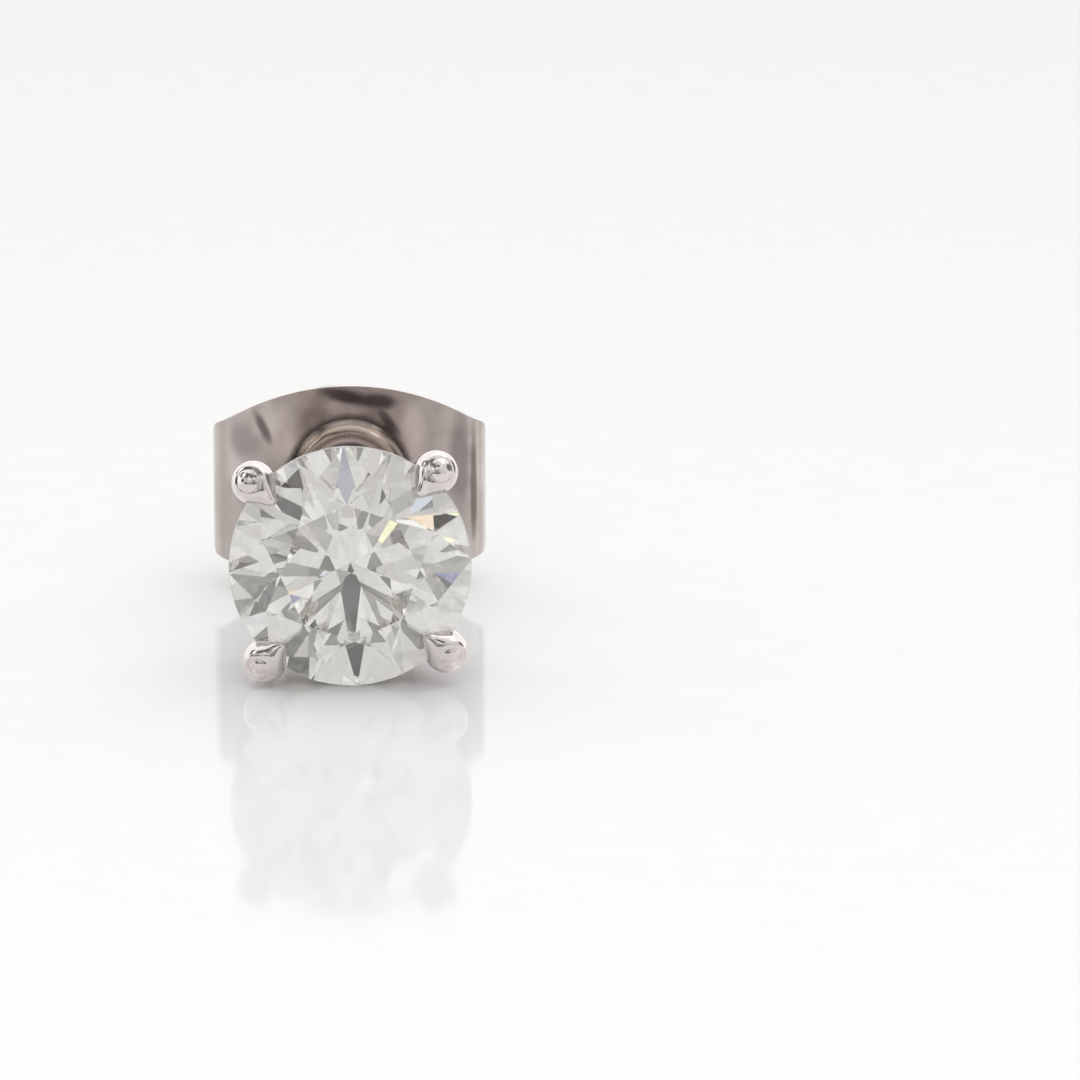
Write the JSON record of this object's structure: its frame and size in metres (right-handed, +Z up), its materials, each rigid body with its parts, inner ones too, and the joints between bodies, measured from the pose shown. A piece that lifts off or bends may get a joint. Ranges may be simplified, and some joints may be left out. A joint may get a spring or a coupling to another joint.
{
  "type": "diamond stud earring",
  "caption": "Diamond stud earring: a round brilliant in a four-claw white gold setting on an ear post, with a butterfly back that slides on the post.",
  "frame": {"origin": "on the surface that the stud lies on, under the middle of its bounding box", "axes": "+Z up, +Y from the stone towards the end of the ear post, +X across the stud"},
  "size_m": [0.006, 0.0142, 0.0051],
  "materials": {
    "diamond": "polished facets, near colourless",
    "white_gold": "polished white gold, rhodium plated"
  },
  "bodies": {
    "stud": {"diamond": "diamond", "claw_setting": "white_gold"},
    "back": {"butterfly_back": "white_gold"}
  },
  "joints": [
    {"name": "butterfly_slide", "type": "slide", "parent": "stud", "child": "back", "axis": [0, 0.9997, -0.0243], "range_m": [-0.00565, 0.0034]}
  ]
}
